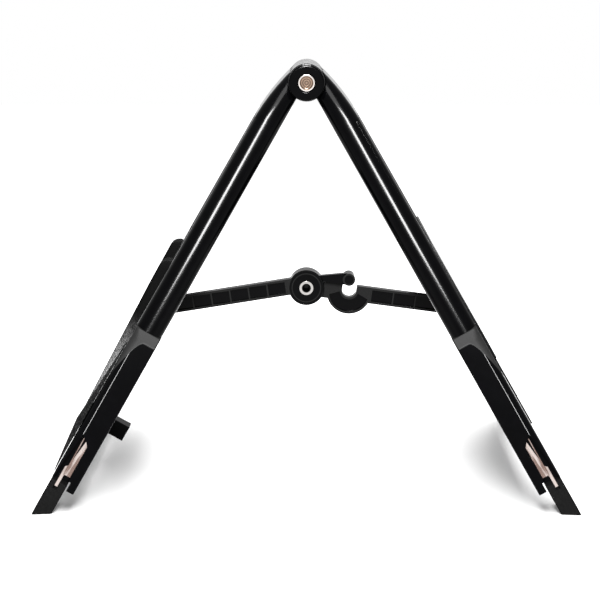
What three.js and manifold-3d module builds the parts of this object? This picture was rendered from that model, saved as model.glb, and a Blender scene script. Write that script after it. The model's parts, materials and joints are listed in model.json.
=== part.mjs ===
// Folding guitar stand, open, with its cradle folded up.
//
// Two moulded frames hang from one hinge and lean apart. Each frame has a crown with hinge knuckles, two
// splayed legs, a bridge between them, and on each leg a shell with a window, a blade and a rubber foot.
// A folding stay in two halves joins the bridges. The cradle's two prongs turn at the front shells.
//
// Lengths are millimetres. +Z is up, +X is the rear, -Y is the near side. The origin is on the floor, under
// the middle of the hinge.
//
// A frame is drawn as it hangs: x is the depth outwards from the plane through the hinge, y runs along the
// hinge, and z is minus the distance along the leg. What sits on a leg is drawn on a straight leg, with y
// counted from the leg's own middle line, and is sheared to the splay at the end.

import * as THREE from 'three';
import { mergeVertices } from 'three/addons/utils/BufferGeometryUtils.js';
import Module from 'manifold-3d';

const { degToRad } = THREE.MathUtils;

// Stance
const hingeHeight = 298;
const openHalfAngle = degToRad(30);
const frameDepth = 19.8;
const closedGap = 0.6;
const seatGap = 0.3;
const overrun = 3;

// Hinge
const knuckleRadius = 13.6;
const hingeHalf = 45;
const knuckleCount = 5;
const knuckleGap = 0.5;
const knuckleClearance = 0.6;
const barrelRadius = 3;
const barrelEndInset = 1;
const washerRadius = 9;
const washerThickness = 1;
const capRadius = 13.2;
const capThickness = 4;
const capEdge = 1;
const hingeScrewRadius = 6.25;
const hingeScrewHead = 2.4;
const hingeScrewDish = 0.7;
const hingeScrewDishRadius = 4.4;
const hingeScrewEdge = 0.5;
const hingeScrewShankRadius = 1.5;
const hingeScrewShankLength = 10;
const hexSocketRadius = 2.4;
const hexSocketDepth = 1.2;

// Crown and legs
const crownTop = -3.5;
const crownStart = 45;
const crownLength = 56;
const crownBend = 6;
const crownCornerShare = 0.46;
const archTop = 40;
const legMiddleTop = 35;
const legSplay = degToRad(12.7);
const legWidth = 20;
const legProud = 0.6;
const legCorner = 8.6;

// Shell on the lower leg, and the foot below it
const footShown = 17.8;
const shellLength = 119;
const shellWidth = 24;
const shellCorner = 5.3;
const shellInnerCorner = 1.2;
const shoulderLength = 7.5;
const shoulderFade = 11;
const shoulderCorner = 7.2;
const shoulderTopCorner = 3;
const shoulderStep = 0.8;
const spigotLength = 32;
const spigotInset = 3.6;
const spigotCorner = 4;
const finReach = 3.2;
const finDepth = 6.1;
const notchRise = 3.3;
const notchDepth = 8.3;
const windowInner = 7.9;
const windowTipDeep = 15.2;
const windowOuter = 18.7;
const windowTipRise = 36.8;
const windowInnerRise = 30.8;
const windowOuterRise = 3;
const windowSink = 8;
const shellScrewDrop = 22;
const shellScrewHeadRadius = 3.4;
const shellScrewHead = 2.2;
const shellScrewShankRadius = 1.5;
const shellScrewLength = 12;
const crossSlotWidth = 1;
const crossSlotDepth = 1.2;

// Blade in the window: a plate, a flange that stands up beside it, and a tongue that runs into the foot
const bladeThickness = 1.5;
const bladeTopDeep = 10.7;
const bladeNeckDeep = 12.6;
const bladeOuter = 13.4;
const bladeTipRise = 31.3;
const bladeInnerRise = 28.3;
const bladeNeckRise = 16;
const bladeEndRise = 4.1;
const flangeRise = 33.6;
const flangeThickness = 0.7;
const flangeHeight = 2.6;
const tongueInner = 12.9;
const tongueOuter = 15.2;
const tongueTopRise = 11.5;
const tongueSlant = 2;
const tongueReach = 5.6;

// Rubber foot
const footInner = 7.1;
const footInset = 0.4;
const footCorner = 1.8;
const footInnerCorner = 0.8;
const footPlugDeep = 5.6;
const footPlugWidth = 7.4;
const footPlugLength = 14;
const footPlugMiddle = -5;
const footPlugOffset = 12.2;

// Rest strip on the front shells
const restStartDrop = 17;
const restCrestRise = 41;
const restEndRise = 4;
const restWidth = 15;
const restHeight = 4.8;
const restEdge = 0.6;
const restCrown = 1.2;
const restUpperShare = 0.5;
const restLowerShare = 0.55;

// Bridge between the legs
const bridgeRise = 64.3;
const bridgeDrop = 31.2;
const bridgeCornerCut = 5;
const frontPlateDeep = 7.5;
const frontBossHalf = 16;
const frontBossDeep = 20.6;
const rearPanelDeep = 21.75;
const rearSkin = 3.7;
const panelWall = 2.6;
const panelRibHalf = 1.2;
const rearGroove = 1.8;
const rearGrooveDepth = 2;
const rearLedge = 4.8;
const rearLedgeDrop = 0.7;
const frontRibHeight = 2.4;
const frontRibInset = 7;
const stopTongueHalf = 6;
const stopTongueShort = 16;

// Stay
const stayPivotRise = 1.3;
const stayPivotDeep = 10.5;
const stayRestTilt = degToRad(7.8);
const stayHalf = 7.5;
const stayLayerGap = 0.3;
const stayChannelGap = 0.4;
const armHalfDepth = 6.2;
const fingerArmLift = 2.7;
const hookArmDrop = 1.1;
const hookEyeDrop = 0.7;
const eyeRadius = 6.9;
const eyeBlock = 9.5;
const bossRadius = 13.7;
const bossEdge = 0.7;
const armPocketDepth = 2.2;
const armFlange = 1.7;
const armRibHalf = 0.6;
const armRibPitch = 15;
const stayPinRadius = 3;
const stayPinSeat = 6;
const eyeletRadius = 5.75;
const eyeletFlange = 0.8;
const eyeletTubeRadius = 3.9;
const eyeletHole = 2.8;
const eyeletFloor = 1;
const hookReach = 33.2;
const hookRise = -0.2;
const hookRadius = 17.2;
const hookSlotHalf = 5.5;
const hookSlotRise = 1.2;
const hookMouthTop = 5.1;
const hookFlange = 1.8;
const hookPocketSpreadShare = 0.84;
const fingerPinRadius = 4.8;
const fingerPinRise = 1.8;
const fingerPinDish = 1.2;
const fingerPinWall = 1.3;
const fingerRootRise = 7.3;
const fingerRootHalf = 0.8;
const fingerBarThickness = 5;

// Cradle
const cradleRise = 25.3;
const cradleDeep = 12;
const cradleTubeRadius = 8;
const cradlePinRadius = 4;
const cradlePinInTube = 9;
const cradlePinInShell = 9;
const prongMiddle = 45;
const prongWidth = 18;
const prongCorner = 4;
const prongInner = 13.8;
const prongTipOuter = 27.6;
const prongTipCorner = 8;
const prongRootOuter = 25.8;
const prongRootDrop = 7.5;
const prongRootCorner = 1.5;
const prongRoofStart = 22;
const prongRoofDrop = 4.4;
const prongLipLength = 9;
const prongLipDeep = 5.2;
const sleeveLength = 122.7;
const sleeveShort = 17;
const sleeveWall = 2.6;
const heelHalfWidth = 5.6;
const heelReach = 15;
const heelDrop = 8;
const heelHalfLength = 6.3;

// How finely round shapes are cut
const roundSteps = 26;
const knuckleSteps = 40;
const smallSteps = 16;
const shapeSteps = 7;
const cornerSteps = 5;
const crownSteps = 6;
const tipSteps = 4;
const mergeDistance = 1e-4;

// Sizes that follow
const innerFace = closedGap / 2;
const legEnd = hingeHeight / Math.cos(openHalfAngle);
const shellEnd = legEnd - footShown;
const shellStart = shellEnd - shellLength;
const finEnd = shellEnd + finReach;
const notchStart = shellEnd - notchRise;
const shellScrewAlong = shellStart + shellScrewDrop;
const bladeEnd = shellEnd - bladeEndRise;
const tongueEnd = shellEnd + tongueReach;
const restStart = shellStart + restStartDrop;
const restCrest = shellEnd - restCrestRise;
const restEnd = shellEnd - restEndRise;
const bridgeTop = shellStart - bridgeRise;
const bridgeBottom = shellStart + bridgeDrop;
const stayPivotAlong = shellStart - stayPivotRise;
const cradleAlong = shellEnd - cradleRise;
const prongRootEnd = cradleAlong + prongRootDrop;
const sleeveEnd = cradleAlong - sleeveShort;
const prongTip = sleeveEnd - sleeveLength;
const prongRoofAlong = prongTip + prongRoofStart;
const heelAlong = cradleAlong + heelDrop;
const stopTongueEnd = cradleAlong - stopTongueShort;
const stopTongueDeep = cradleDeep - (heelAlong - heelHalfLength - cradleAlong) + seatGap;
const splayRate = Math.tan(legSplay);
const shellHalf = shellWidth / 2;
const legHalf = legWidth / 2;
const windowFloor = shellHalf - windowSink;
const knuckleWidth = 2 * hingeHalf / knuckleCount;
const legDepth = frameDepth + legProud;
const crownArcSpan = crownStart ** 2 + legDepth ** 2 - knuckleRadius ** 2;
const crownArcRadius = crownArcSpan / (2 * (legDepth - knuckleRadius));
const stayChannelHalf = stayHalf + stayChannelGap;
const stayChannelDeep = stayPivotDeep + eyeRadius + stayChannelGap;
const stayReach = stayPivotAlong * Math.sin(openHalfAngle) + stayPivotDeep * Math.cos(openHalfAngle);
const stayDrop = stayPivotAlong * Math.cos(openHalfAngle) - stayPivotDeep * Math.sin(openHalfAngle);
const stayLength = stayReach / Math.cos(stayRestTilt);
const kneeDrop = stayDrop - stayLength * Math.sin(stayRestTilt);

const wasm = await Module();
wasm.setup();

const blackGloss = { color: 0x0c0c0d, roughness: 0.22, metalness: 0 };
const blackMatte = { color: 0x151516, roughness: 0.6, metalness: 0 };
const rubberBlack = { color: 0x1a1a1b, roughness: 0.85, metalness: 0 };
const nickel = { color: 0xcfc6bd, roughness: 0.25, metalness: 1 };
const steel = { color: 0x8c8c8e, roughness: 0.35, metalness: 1 };

// Half the distance between the middle lines of the two legs, at a distance along them.
function legMiddle(along) {
  return legMiddleTop + splayRate * along;
}

// The distance along a leg at which a line at this depth meets the floor.
function floorAlong(deep) {
  return (hingeHeight + deep * Math.sin(openHalfAngle)) / Math.cos(openHalfAngle);
}

// Solids for cutting and joining
function solidOf(geometry) {
  const plain = geometry.index ? geometry.toNonIndexed() : geometry.clone();
  plain.deleteAttribute('normal');
  plain.deleteAttribute('uv');
  const merged = mergeVertices(plain, mergeDistance);
  const vertProperties = new Float32Array(merged.attributes.position.array);
  const triVerts = new Uint32Array(merged.index.array);
  return new wasm.Manifold(new wasm.Mesh({ numProp: 3, vertProperties, triVerts }));
}

function geometryOf(solid) {
  const mesh = solid.getMesh();
  const geometry = new THREE.BufferGeometry();
  geometry.setAttribute('position', new THREE.BufferAttribute(mesh.vertProperties, 3));
  geometry.setIndex(new THREE.BufferAttribute(mesh.triVerts, 1));
  geometry.computeVertexNormals();
  return geometry;
}

function join(...pieces) {
  return geometryOf(pieces.map(solidOf).reduce((whole, piece) => whole.add(piece)));
}

function cut(body, ...tools) {
  return geometryOf(tools.map(solidOf).reduce((rest, tool) => rest.subtract(tool), solidOf(body)));
}

// Shapes in a frame's own space
function block(deep, across, along) {
  const geometry = new THREE.BoxGeometry(deep[1] - deep[0], across[1] - across[0], along[1] - along[0]);
  geometry.translate((deep[0] + deep[1]) / 2, (across[0] + across[1]) / 2, -(along[0] + along[1]) / 2);
  return geometry;
}

// Fills a shape drawn in depth and height, across the hinge direction.
function acrossPrism(shape, across) {
  const depth = across[1] - across[0];
  const geometry = new THREE.ExtrudeGeometry(shape, { depth, bevelEnabled: false, curveSegments: shapeSteps });
  geometry.rotateX(Math.PI / 2);
  geometry.translate(0, across[1], 0);
  return geometry;
}

// An outline of depth and along pairs, as a shape.
function sideShape(points) {
  return new THREE.Shape(points.map(([deep, along]) => new THREE.Vector2(deep, -along)));
}

// An outline of across and along pairs, as a shape.
function plateShape(points) {
  return new THREE.Shape(points.map(([across, along]) => new THREE.Vector2(across, -along)));
}

// Fills a shape drawn across and in height, through a range of depth.
function platePrism(shape, deep) {
  const depth = deep[1] - deep[0];
  const geometry = new THREE.ExtrudeGeometry(shape, { depth, bevelEnabled: false, curveSegments: shapeSteps });
  const axes = [new THREE.Vector3(0, 1, 0), new THREE.Vector3(0, 0, 1), new THREE.Vector3(1, 0, 0)];
  geometry.applyMatrix4(new THREE.Matrix4().makeBasis(...axes));
  geometry.translate(deep[0], 0, 0);
  return geometry;
}

// A round bar along the hinge direction.
function roundBar(radius, across, deep, along, steps = smallSteps) {
  const geometry = new THREE.CylinderGeometry(radius, radius, across[1] - across[0], steps);
  geometry.translate(deep, (across[0] + across[1]) / 2, -along);
  return geometry;
}

// A turned piece with its axis along the hinge direction, from radius and across pairs.
function turned(profile, steps = roundSteps) {
  return new THREE.LatheGeometry(profile.map(([radius, across]) => new THREE.Vector2(radius, across)), steps);
}

// A ring of points round a rounded rectangle, seen down the leg. Its inner corners may have their own radius.
function roundedRing(deep, across, corner, along, innerCorner = corner) {
  const corners = [
    [deep[1] - corner, across[1] - corner, corner],
    [deep[0] + innerCorner, across[1] - innerCorner, innerCorner],
    [deep[0] + innerCorner, across[0] + innerCorner, innerCorner],
    [deep[1] - corner, across[0] + corner, corner],
  ];
  return corners.flatMap(([x, y, radius], quarter) => {
    return Array.from({ length: cornerSteps + 1 }, (_, step) => {
      const angle = (quarter + step / cornerSteps) * Math.PI / 2;
      return new THREE.Vector3(x + radius * Math.cos(angle), y + radius * Math.sin(angle), -along);
    });
  });
}

// A closed skin over rings that follow each other down the leg.
function loft(rings) {
  const count = rings[0].length;
  const last = rings.length - 1;
  const points = rings.flat();
  const index = [];
  for (let ring = 0; ring < last; ring += 1) {
    for (let side = 0; side < count; side += 1) {
      const next = (side + 1) % count;
      const [upper, upperNext] = [ring * count + side, ring * count + next];
      const [lower, lowerNext] = [upper + count, upperNext + count];
      index.push(upper, lower, lowerNext, upper, lowerNext, upperNext);
    }
  }
  for (const [ring, flip] of [[0, false], [last, true]]) {
    const middle = new THREE.Vector3();
    rings[ring].forEach((point) => middle.addScaledVector(point, 1 / count));
    points.push(middle);
    for (let side = 0; side < count; side += 1) {
      const pair = [ring * count + side, ring * count + (side + 1) % count];
      index.push(points.length - 1, ...(flip ? pair.reverse() : pair));
    }
  }
  const geometry = new THREE.BufferGeometry().setFromPoints(points);
  geometry.setIndex(index);
  return geometry;
}

// Moves a piece from the straight leg to the splayed one.
function splayed(geometry) {
  const shear = new THREE.Matrix4();
  shear.set(1, 0, 0, 0, 0, 1, -splayRate, legMiddleTop, 0, 0, 1, 0, 0, 0, 0, 1);
  return geometry.applyMatrix4(shear);
}

// The same piece for the other side of the frame.
function mirrored(geometry) {
  const other = geometry.clone();
  other.scale(1, -1, 1);
  const count = other.attributes.position.count;
  const corners = Array.from(other.index ? other.index.array : Array(count).keys());
  for (let corner = 0; corner < corners.length; corner += 3) {
    [corners[corner + 1], corners[corner + 2]] = [corners[corner + 2], corners[corner + 1]];
  }
  other.setIndex(corners);
  return other;
}

function bothSides(geometry) {
  return [geometry, mirrored(geometry)];
}

// Frame: crown with knuckles, legs and bridge
// The crown's outer line leaves the leg's outer face in an arc that closes round the knuckles.
function crownDeep(along) {
  const above = Math.max(0, crownStart - along);
  return legDepth - crownArcRadius + Math.sqrt(crownArcRadius ** 2 - above ** 2);
}

// The crown is one bent tube: its ends turn in towards the hinge, and its section is the leg's.
function crown() {
  const bent = Array.from({ length: crownSteps }, (_, step) => {
    return crownTop + (crownStart - crownTop) * step / crownSteps;
  });
  return loft([...bent, crownStart, crownLength].map((along) => {
    const bend = crownBend * Math.max(0, 1 - along / archTop) ** 2;
    const half = legMiddle(along) + legHalf - bend;
    const deep = [innerFace, crownDeep(along)];
    const corner = Math.min(legCorner, (deep[1] - deep[0]) * crownCornerShare);
    return roundedRing(deep, [-half, half], corner, along);
  }));
}

function arch() {
  const inner = (along) => legMiddle(along) - legHalf;
  const foot = crownLength + overrun;
  const shape = new THREE.Shape();
  shape.moveTo(-inner(foot), -foot);
  shape.quadraticCurveTo(-inner(archTop), -archTop, 0, -archTop);
  shape.quadraticCurveTo(inner(archTop), -archTop, inner(foot), -foot);
  return platePrism(shape, [-overrun, legDepth + overrun]);
}

function leg() {
  const deep = [innerFace, legDepth];
  const spigot = [innerFace + spigotInset, frameDepth - spigotInset];
  const spigotHalf = legHalf - spigotInset;
  const tube = loft([archTop, shellStart - seatGap].map((along) => {
    return roundedRing(deep, [-legHalf, legHalf], legCorner, along);
  }));
  const end = loft([shellStart - overrun, shellStart + spigotLength].map((along) => {
    return roundedRing(spigot, [-spigotHalf, spigotHalf], spigotCorner, along);
  }));
  const pilot = screwBar(shellScrewShankRadius + seatGap, shellScrewLength + 2 * seatGap);
  return splayed(cut(join(tube, end), pilot));
}

// A hole or shank for the shell's screw, driven from the inner face.
function screwBar(radius, length) {
  const geometry = new THREE.CylinderGeometry(radius, radius, length, smallSteps);
  geometry.rotateZ(Math.PI / 2);
  geometry.translate(innerFace + length / 2, 0, -shellScrewAlong);
  return geometry;
}

// The bridge's outline: it runs into the legs above the shells and stands between the shells below.
function bridgeOutline(inset, bottom) {
  const turn = shellStart - seatGap;
  const shellInner = (along) => legMiddle(along) - shellHalf - seatGap;
  const half = [
    [legMiddle(bridgeTop) - inset, bridgeTop + inset],
    [legMiddle(turn) - inset, turn - inset],
    [shellInner(turn) - inset, turn - inset],
    [shellInner(bottom - bridgeCornerCut) - inset, bottom - bridgeCornerCut - inset],
    [shellInner(bottom - bridgeCornerCut) - bridgeCornerCut - inset, bottom - inset],
  ];
  return [...half, ...half.map(([across, along]) => [-across, along]).reverse()];
}

function stayChannel() {
  return block([-overrun, stayChannelDeep], [-stayChannelHalf, stayChannelHalf],
    [bridgeTop - overrun, stayPivotAlong + eyeRadius + stayChannelGap]);
}

function stayPinBore() {
  const half = stayChannelHalf + stayPinSeat + seatGap;
  return roundBar(stayPinRadius + seatGap, [-half, half], stayPivotDeep, stayPivotAlong);
}

function frontBridge() {
  const plate = platePrism(plateShape(bridgeOutline(0, bridgeBottom)), [innerFace, frontPlateDeep]);
  const boss = block([innerFace, frontBossDeep], [-frontBossHalf, frontBossHalf], [bridgeTop, bridgeBottom]);
  const tongue = block([stopTongueDeep, frontBossDeep], [-stopTongueHalf, stopTongueHalf],
    [bridgeBottom - overrun, stopTongueEnd]);
  const ribHalf = legMiddle(bridgeTop) - legHalf;
  const ribAlong = bridgeBottom - frontRibInset;
  const rib = block([innerFace, frontPlateDeep + frontRibHeight], [-ribHalf, ribHalf],
    [ribAlong - panelRibHalf, ribAlong + panelRibHalf]);
  return [plate, boss, tongue, rib];
}

// The rear panel is a shell with one rib, and a ledge hangs below a groove at its lower edge.
function rearBridge() {
  const grooveEnd = bridgeBottom + rearGroove;
  const bottom = grooveEnd + rearLedge;
  const panel = platePrism(plateShape(bridgeOutline(0, bottom)), [innerFace, rearPanelDeep]);
  const pocketHalf = stayChannelHalf + stayPinSeat + panelWall;
  const reach = legMiddle(bottom);
  const hollowShape = plateShape(bridgeOutline(panelWall, bridgeBottom));
  const hollow = platePrism(hollowShape, [-overrun, rearPanelDeep - rearSkin]);
  const keep = block([-2 * overrun, frameDepth], [-pocketHalf, pocketHalf],
    [bridgeTop - overrun, bottom + overrun]);
  const middle = (bridgeTop + bridgeBottom) / 2;
  const rib = block([-2 * overrun, frameDepth], [-reach, reach],
    [middle - panelRibHalf, middle + panelRibHalf]);
  const groove = block([rearPanelDeep - rearGrooveDepth, rearPanelDeep + overrun], [-reach, reach],
    [bridgeBottom, grooveEnd]);
  const step = block([rearPanelDeep - rearLedgeDrop, rearPanelDeep + overrun], [-reach, reach],
    [grooveEnd - overrun / 2, bottom + overrun]);
  return cut(panel, cut(hollow, keep, rib), groove, step);
}

function frame(isFront) {
  const bounds = (slot) => [slot * knuckleWidth - hingeHalf, (slot + 1) * knuckleWidth - hingeHalf];
  const slots = Array.from({ length: knuckleCount }, (_, slot) => slot);
  const isOwn = (slot) => (slot % 2 === 0) === isFront;
  const knuckles = slots.filter(isOwn).map((slot) => {
    const [low, high] = bounds(slot);
    return roundBar(knuckleRadius, [low + knuckleGap / 2, high - knuckleGap / 2], 0, 0, knuckleSteps);
  });
  const notches = slots.filter((slot) => !isOwn(slot)).map((slot) => {
    const [low, high] = bounds(slot);
    const nearEnd = slot === 0 ? legHalf : knuckleGap / 2;
    const farEnd = slot === knuckleCount - 1 ? legHalf : knuckleGap / 2;
    return roundBar(knuckleRadius + knuckleClearance, [low - nearEnd, high + farEnd], 0, 0, knuckleSteps);
  });
  const bore = roundBar(barrelRadius + seatGap, [-hingeHalf - overrun, hingeHalf + overrun], 0, 0, roundSteps);
  const capSeat = roundBar(capRadius + 2 * seatGap, [hingeHalf, hingeHalf + legHalf], 0, 0, roundSteps);
  const capSeats = bothSides(capSeat);
  const legs = bothSides(leg());
  const crownBody = cut(crown(), arch());
  const bridge = isFront ? frontBridge() : [rearBridge()];
  const body = join(crownBody, ...legs, ...bridge);
  return cut(join(cut(body, ...notches), ...knuckles), bore, ...capSeats, stayChannel(), stayPinBore());
}

// Shell, and what sits in it
function shell(isFront) {
  const deep = [innerFace, frameDepth];
  const shoulderHalf = legHalf + shoulderStep;
  const fadeEnd = shellStart + shoulderLength + shoulderFade;
  const skin = loft([
    roundedRing(deep, [-shoulderHalf, shoulderHalf], shoulderTopCorner, shellStart, shellInnerCorner),
    roundedRing(deep, [-shellHalf, shellHalf], shoulderCorner, shellStart + shoulderLength, shellInnerCorner),
    roundedRing(deep, [-shellHalf, shellHalf], shellCorner, fadeEnd, shellInnerCorner),
    roundedRing(deep, [-shellHalf, shellHalf], shellCorner, finEnd, shellInnerCorner),
  ]);
  const socketDeep = [innerFace + spigotInset - seatGap, frameDepth - spigotInset + seatGap];
  const socketHalf = legHalf - spigotInset + seatGap;
  const socket = loft([shellStart - overrun, shellStart + spigotLength + seatGap].map((along) => {
    return roundedRing(socketDeep, [-socketHalf, socketHalf], spigotCorner, along);
  }));
  const windowHole = acrossPrism(sideShape([
    [windowInner, shellEnd - windowInnerRise],
    [windowInner, finEnd + overrun],
    [windowOuter, finEnd + overrun],
    [windowOuter, shellEnd - windowOuterRise],
    [windowTipDeep, shellEnd - windowTipRise],
  ]), [windowFloor, shellHalf + overrun]);
  const end = block([finDepth, frameDepth + overrun], [-shellWidth, shellWidth], [shellEnd, finEnd + overrun]);
  const gap = block([finDepth, notchDepth], [-shellWidth, shellWidth], [notchStart, finEnd + overrun]);
  const plugHole = footPlug(seatGap);
  const screwHole = screwBar(shellScrewShankRadius + seatGap, frameDepth / 2);
  const headHole = screwBar(shellScrewHeadRadius + seatGap, shellScrewHead + seatGap);
  const tools = [socket, windowHole, end, gap, plugHole, screwHole, headHole];
  if (isFront) {
    const floor = cradlePinInShell - shellHalf + seatGap + splayRate * cradlePinRadius;
    tools.push(roundBar(cradlePinRadius + seatGap, [-shellHalf - overrun, floor], cradleDeep, cradleAlong));
  }
  return splayed(cut(skin, ...tools));
}

function shellScrew() {
  const shank = screwBar(shellScrewShankRadius, shellScrewLength);
  shank.translate(seatGap, 0, 0);
  const head = screwBar(shellScrewHeadRadius, shellScrewHead);
  const slots = [0, 1].map((turn) => {
    const size = [crossSlotWidth, shellScrewHeadRadius];
    const [wide, tall] = turn ? size : size.slice().reverse();
    return block([innerFace - overrun, innerFace + crossSlotDepth], [-wide / 2, wide / 2],
      [shellScrewAlong - tall / 2, shellScrewAlong + tall / 2]);
  });
  return splayed(cut(join(shank, head), ...slots));
}

function footPlug(gap) {
  const deep = [footPlugOffset - footPlugDeep / 2 - gap, footPlugOffset + footPlugDeep / 2 + gap];
  const across = [footPlugMiddle - footPlugWidth / 2 - gap, footPlugMiddle + footPlugWidth / 2 + gap];
  return block(deep, across, [shellEnd - footPlugLength - gap, shellEnd + 2 * overrun]);
}

function foot() {
  const half = shellHalf - footInset;
  const deep = [footInner, frameDepth - footInset];
  const bar = loft([shellEnd + seatGap, floorAlong(frameDepth) + overrun].map((along) => {
    return roundedRing(deep, [-half, half], footCorner, along, footInnerCorner);
  }));
  const below = acrossPrism(sideShape([
    [-overrun, floorAlong(-overrun)],
    [frameDepth + overrun, floorAlong(frameDepth + overrun)],
    [frameDepth + overrun, floorAlong(frameDepth) + shellWidth],
    [-overrun, floorAlong(frameDepth) + shellWidth],
  ]), [-shellWidth, shellWidth]);
  const slot = block([tongueInner - seatGap, tongueOuter + seatGap], [windowFloor, shellWidth],
    [shellEnd, tongueEnd + seatGap]);
  return splayed(cut(join(bar, footPlug(0)), below, slot));
}

function blade() {
  const across = [windowFloor + seatGap, windowFloor + seatGap + bladeThickness];
  const inner = windowInner + seatGap;
  const flangeInner = bladeOuter - flangeThickness;
  const plate = acrossPrism(sideShape([
    [inner, shellEnd - bladeInnerRise],
    [inner, bladeEnd],
    [bladeOuter, bladeEnd],
    [bladeOuter, shellEnd - bladeNeckRise],
    [bladeNeckDeep, shellEnd - bladeNeckRise],
    [bladeTopDeep, shellEnd - bladeTipRise],
  ]), across);
  const tongue = acrossPrism(sideShape([
    [tongueInner, shellEnd - tongueTopRise],
    [tongueInner, tongueEnd],
    [tongueOuter, tongueEnd],
    [tongueOuter, shellEnd - tongueTopRise + tongueSlant],
  ]), across);
  const flange = block([flangeInner, bladeOuter], [across[0], across[1] + flangeHeight],
    [shellEnd - flangeRise, bladeEnd]);
  return splayed(join(plate, tongue, flange));
}

function restStrip() {
  const heights = [
    [restStart, 0],
    [(restStart + restCrest) / 2, restUpperShare],
    [restCrest, 1],
    [(restCrest + restEnd) / 2, restLowerShare],
    [restEnd, 0],
  ];
  const foot = frameDepth + seatGap;
  const strip = loft(heights.map(([along, share]) => {
    const top = foot + restEdge + (restHeight - restEdge) * share;
    const half = restWidth / 2;
    const side = top - restCrown * share;
    const ring = [[foot, -half], [side, -half], [top, 0], [side, half], [foot, half]];
    return ring.map(([deep, across]) => new THREE.Vector3(deep, across, -along));
  }));
  return splayed(strip);
}

// Hinge hardware along the hinge axis
function hingeBarrel() {
  const half = hingeHalf + washerThickness - barrelEndInset;
  const core = roundBar(barrelRadius, [-half, half], 0, 0, roundSteps);
  const deep = hingeScrewShankLength + overrun;
  const bores = [[-half - overrun, -half + deep], [half - deep, half + overrun]].map((across) => {
    return roundBar(hingeScrewShankRadius + seatGap, across, 0, 0);
  });
  return cut(core, ...bores);
}

function hingeWasher() {
  const [low, high] = [hingeHalf + seatGap, hingeHalf + seatGap + washerThickness];
  const inner = barrelRadius + seatGap;
  const ring = [[inner, low], [washerRadius, low], [washerRadius, high], [inner, high], [inner, low]];
  return turned(ring, smallSteps);
}

function hingeCap() {
  const low = hingeHalf + washerThickness + 2 * seatGap;
  const high = low + capThickness;
  const seat = high - hingeScrewHead - seatGap;
  const [hole, pocket] = [barrelRadius + seatGap, hingeScrewRadius + seatGap];
  return turned([
    [hole, low],
    [capRadius, low],
    [capRadius, high - capEdge],
    [capRadius - capEdge, high],
    [pocket, high],
    [pocket, seat],
    [hole, seat],
    [hole, low],
  ]);
}

function hingeScrew() {
  const outer = hingeHalf + washerThickness + 2 * seatGap + capThickness;
  const under = outer - hingeScrewHead;
  const dish = outer - hingeScrewDish;
  const start = under - hingeScrewShankLength;
  const body = turned([
    [0, start],
    [hingeScrewShankRadius, start],
    [hingeScrewShankRadius, under],
    [hingeScrewRadius, under],
    [hingeScrewRadius, outer - hingeScrewEdge],
    [hingeScrewRadius - hingeScrewEdge, outer],
    [hingeScrewDishRadius, outer],
    [hingeScrewDishRadius - hingeScrewEdge, dish],
    [0, dish],
  ]);
  return cut(body, roundBar(hexSocketRadius, [dish - hexSocketDepth, outer], 0, 0, 6));
}

// Stay: both halves are drawn from the middle joint, with x towards the frame that carries them
// How far an arm's middle line stands above the line from the knee to the pivot.
function armRise(kneeRise, eyeRise, reach) {
  return kneeRise + (eyeRise - kneeRise) * reach / stayLength;
}

function stayArm(kneeRise, eyeRise) {
  const layer = [stayLayerGap / 2, stayHalf];
  const outline = (start) => {
    const corner = (reach, side) => [reach, side * armHalfDepth - armRise(kneeRise, eyeRise, reach)];
    return sideShape([corner(start, -1), corner(start, 1), corner(stayLength, 1), corner(stayLength, -1)]);
  };
  const arm = acrossPrism(outline(0), layer);
  const full = acrossPrism(outline(stayLength - eyeBlock), [-stayHalf, stayHalf]);
  const eye = roundBar(eyeRadius, [-stayHalf, stayHalf], stayLength, 0, roundSteps);
  const boss = turned([
    [0, layer[0]],
    [bossRadius, layer[0]],
    [bossRadius, layer[1] - bossEdge],
    [bossRadius - bossEdge, layer[1]],
    [0, layer[1]],
  ], knuckleSteps);
  return join(arm, full, eye, boss);
}

// Pockets between the arm's ribs, sunk from one face.
function armPockets(start, kneeRise, eyeRise, face, inwards) {
  const end = stayLength - eyeBlock - armFlange;
  const count = Math.max(1, Math.round((end - start) / armRibPitch));
  const pitch = (end - start) / count;
  const [below, above] = inwards > 0 ? [overrun, armPocketDepth] : [armPocketDepth, overrun];
  const pocketHalf = armHalfDepth - armFlange;
  return Array.from({ length: count }, (_, bay) => {
    const low = start + bay * pitch + armRibHalf;
    const high = low + pitch - 2 * armRibHalf;
    const rise = armRise(kneeRise, eyeRise, (low + high) / 2);
    return block([low, high], [face - below, face + above], [-pocketHalf - rise, pocketHalf - rise]);
  });
}

function stayBores() {
  const across = [-stayHalf - overrun, stayHalf + overrun];
  const eyelet = roundBar(eyeletTubeRadius + seatGap, across, 0, 0, roundSteps);
  const pin = roundBar(stayPinRadius + seatGap, across, stayLength, 0);
  return [eyelet, pin];
}

function fingerLink() {
  const layer = [stayLayerGap / 2, stayHalf];
  const bar = acrossPrism(sideShape([
    [0, -fingerRootRise - fingerRootHalf],
    [0, -fingerRootRise + fingerRootHalf],
    [-hookReach, -fingerPinRise + fingerPinRadius],
    [-hookReach, -fingerPinRise - fingerPinRadius],
  ]), [layer[0], layer[0] + fingerBarThickness]);
  const pin = roundBar(fingerPinRadius, [-stayHalf, stayHalf], -hookReach, -fingerPinRise, roundSteps);
  const dish = roundBar(fingerPinRadius - fingerPinWall, [stayHalf - fingerPinDish, stayHalf + overrun],
    -hookReach, -fingerPinRise);
  const body = join(stayArm(fingerArmLift, 0), bar, pin);
  const pocketStart = bossRadius + armFlange;
  const pockets = [
    ...armPockets(pocketStart, fingerArmLift, 0, stayHalf, -1),
    ...armPockets(pocketStart, fingerArmLift, 0, layer[0], 1),
  ];
  return cut(body, dish, ...pockets, ...stayBores());
}

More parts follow.
